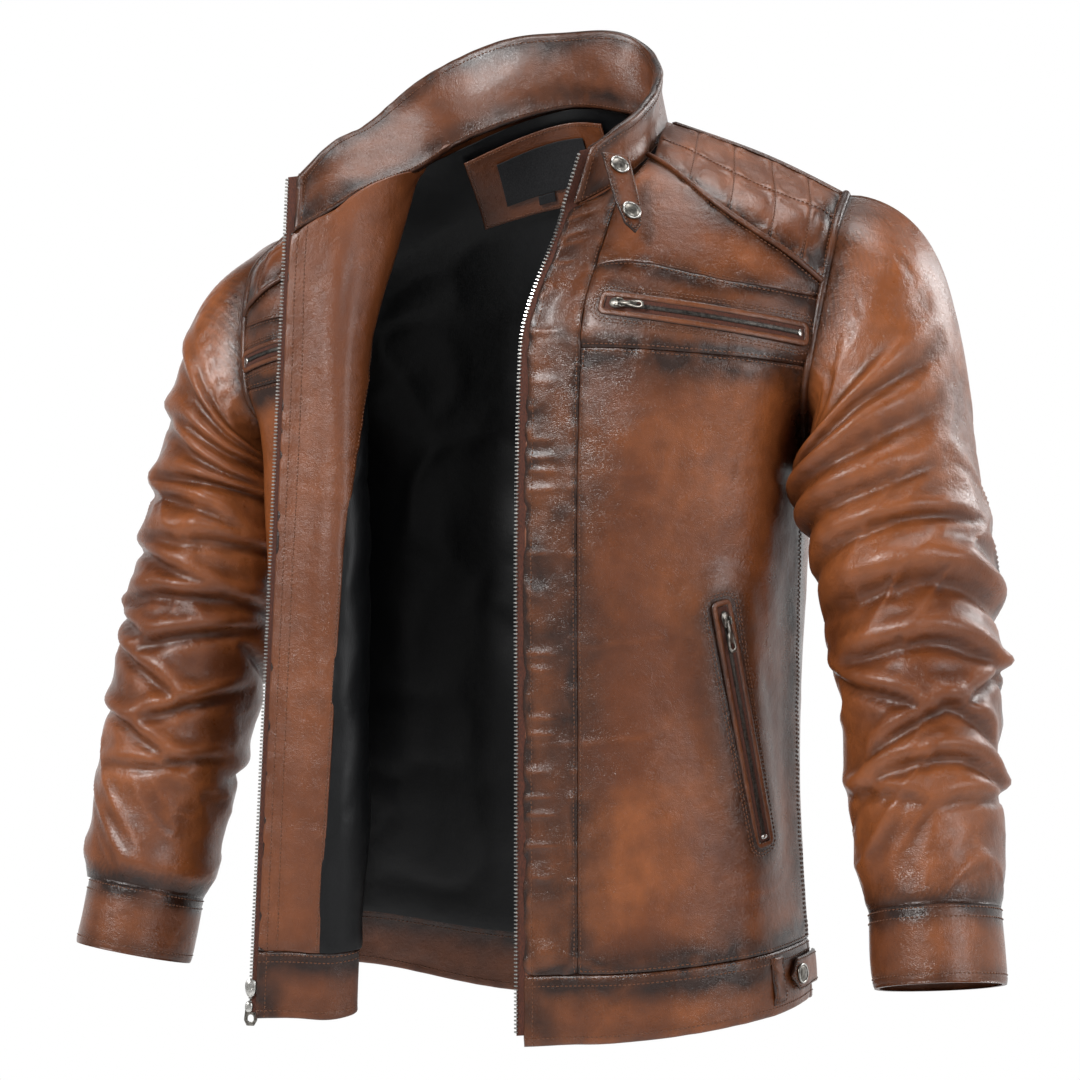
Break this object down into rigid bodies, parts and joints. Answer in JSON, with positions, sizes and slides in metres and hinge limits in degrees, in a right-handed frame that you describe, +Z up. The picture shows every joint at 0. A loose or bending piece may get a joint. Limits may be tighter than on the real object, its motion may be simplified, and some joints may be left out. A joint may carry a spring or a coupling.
{
  "type": "leather riding jacket",
  "caption": "Open leather riding jacket with stand collar, quilted shoulders, zipped chest and hand pockets, set-in sleeves and banded hem and cuffs.",
  "frame": {"origin": "hanger point inside the back of the neck", "axes": "+Z up, -Y the way the wearer faces, +X the wearer's left"},
  "size_m": [0.7074, 0.2659, 0.7399],
  "materials": {
    "leather": "semi-gloss grained cognac leather, burnished dark at the seams",
    "leather_inner": "smoother cognac leather facing",
    "lining": "black satin lining",
    "label": "black woven label, blank",
    "tape": "red-brown woven zip tape",
    "nickel": "bright nickel",
    "gunmetal": "dark antique gunmetal"
  },
  "bodies": {
    "jacket": {"back_hem_band": "leather", "back_panel": "leather", "back_yoke": "leather", "blank_label": "label", "chest_band_left": "leather", "chest_band_right": "leather", "chest_welt_left": "leather", "chest_welt_right": "leather", "chest_zip_left": "gunmetal", "chest_zip_right": "gunmetal", "collar_inner": "leather_inner", "collar_outer": "leather", "facing_left": "leather_inner", "facing_right": "leather_inner", "front_panel_left": "leather", "front_panel_right": "leather", "hand_welt_left": "leather", "hand_welt_right": "leather", "hand_zip_left": "gunmetal", "hand_zip_right": "gunmetal", "hem_band_left": "leather", "hem_band_right": "leather", "lining_back": "lining", "lining_front_left": "lining", "lining_front_right": "lining", "neck_patch": "leather_inner", "placket_left": "leather", "placket_right": "leather", "shoulder_panel_left": "leather", "shoulder_panel_right": "leather", "sleeve_head_left": "leather", "sleeve_head_right": "leather", "upper_front_left": "leather", "upper_front_right": "leather", "zip_box": "nickel", "zip_tape_left": "tape", "zip_tape_right": "tape", "zip_teeth_left": "nickel", "zip_teeth_right": "nickel"},
    "main_slider": {"main_slider": "nickel"},
    "main_pull": {"main_pull": "gunmetal"},
    "chest_slider_left": {"chest_slider_left": "gunmetal"},
    "chest_pull_left": {"chest_pull_left": "gunmetal"},
    "chest_slider_right": {"chest_slider_right": "gunmetal"},
    "chest_pull_right": {"chest_pull_right": "gunmetal"},
    "hand_slider_left": {"hand_slider_left": "gunmetal"},
    "hand_pull_left": {"hand_pull_left": "gunmetal"},
    "hand_slider_right": {"hand_slider_right": "gunmetal"},
    "hand_pull_right": {"hand_pull_right": "gunmetal"},
    "collar_tab": {"collar_tab": "leather", "collar_tab_snap": "gunmetal", "collar_stud": "gunmetal"},
    "waist_tab_left": {"waist_tab_left": "leather", "waist_snap_left": "gunmetal"},
    "waist_tab_right": {"waist_tab_right": "leather", "waist_snap_right": "gunmetal"},
    "sleeve_left": {"sleeve_left": "leather", "cuff_left": "leather"},
    "sleeve_right": {"sleeve_right": "leather", "cuff_right": "leather"}
  },
  "joints": [
    {"name": "main_zip_slide", "type": "slide", "parent": "jacket", "child": "main_slider", "axis": [0.0307, 0.0355, 0.9989], "range_m": [0, 0.57]},
    {"name": "main_pull_swing", "type": "hinge", "parent": "main_slider", "child": "main_pull", "pos_m": [-0.18108, -0.15327, -0.6476], "axis": [0.9131, 0.4056, -0.0424], "range_deg": [0, 150]},
    {"name": "chest_zip_slide_left", "type": "hinge", "parent": "jacket", "child": "chest_slider_left", "pos_m": [0.08858, -0.01194, -0.17436], "axis": [0.1472, 0.03, 0.9886], "range_deg": [0, 42]},
    {"name": "chest_pull_swing_left", "type": "hinge", "parent": "chest_slider_left", "child": "chest_pull_left", "pos_m": [0.11262, -0.17587, -0.17216], "axis": [-0.1065, -0.2847, -0.9527], "range_deg": [0, 150]},
    {"name": "chest_zip_slide_right", "type": "hinge", "parent": "jacket", "child": "chest_slider_right", "pos_m": [-0.17896, -0.0376, -0.189], "axis": [0.1882, -0.0903, -0.978], "range_deg": [0, 42]},
    {"name": "chest_pull_swing_right", "type": "hinge", "parent": "chest_slider_right", "child": "chest_pull_right", "pos_m": [-0.15466, -0.11309, -0.17708], "axis": [-0.2148, 0.171, 0.9616], "range_deg": [0, 150]},
    {"name": "hand_zip_slide_left", "type": "slide", "parent": "jacket", "child": "hand_slider_left", "axis": [0.1058, 0.2257, -0.9684], "range_m": [0, 0.144]},
    {"name": "hand_pull_swing_left", "type": "hinge", "parent": "hand_slider_left", "child": "hand_pull_left", "pos_m": [0.17523, -0.13768, -0.38224], "axis": [-0.5377, -0.8062, -0.2466], "range_deg": [0, 150]},
    {"name": "hand_zip_slide_right", "type": "slide", "parent": "jacket", "child": "hand_slider_right", "axis": [-0.2402, 0.1602, -0.9574], "range_m": [0, 0.145]},
    {"name": "hand_pull_swing_right", "type": "hinge", "parent": "hand_slider_right", "child": "hand_pull_right", "pos_m": [-0.16371, -0.12653, -0.38237], "axis": [-0.7818, 0.5527, 0.2887], "range_deg": [0, 150]},
    {"name": "collar_tab_swing", "type": "hinge", "parent": "jacket", "child": "collar_tab", "pos_m": [0.0955, -0.1415, -0.068], "axis": [-0.6141, -0.7884, 0.0351], "range_deg": [0, 140]},
    {"name": "waist_tab_swing_left", "type": "hinge", "parent": "jacket", "child": "waist_tab_left", "pos_m": [0.19507, -0.00195, -0.62743], "axis": [-0.0644, -0.0198, 0.9977], "range_deg": [0, 70]},
    {"name": "waist_tab_swing_right", "type": "hinge", "parent": "jacket", "child": "waist_tab_right", "pos_m": [-0.19507, -0.00195, -0.62743], "axis": [-0.0644, 0.0198, -0.9977], "range_deg": [0, 70]},
    {"name": "sleeve_swing_left", "type": "hinge", "parent": "jacket", "child": "sleeve_left", "pos_m": [0.206, -0.042, -0.168], "axis": [0, -1, 0], "range_deg": [0, 35], "deforming": ["sleeve_head_left"]},
    {"name": "sleeve_swing_right", "type": "hinge", "parent": "jacket", "child": "sleeve_right", "pos_m": [-0.206, -0.042, -0.168], "axis": [0, 1, 0], "range_deg": [0, 35], "deforming": ["sleeve_head_right"]}
  ]
}
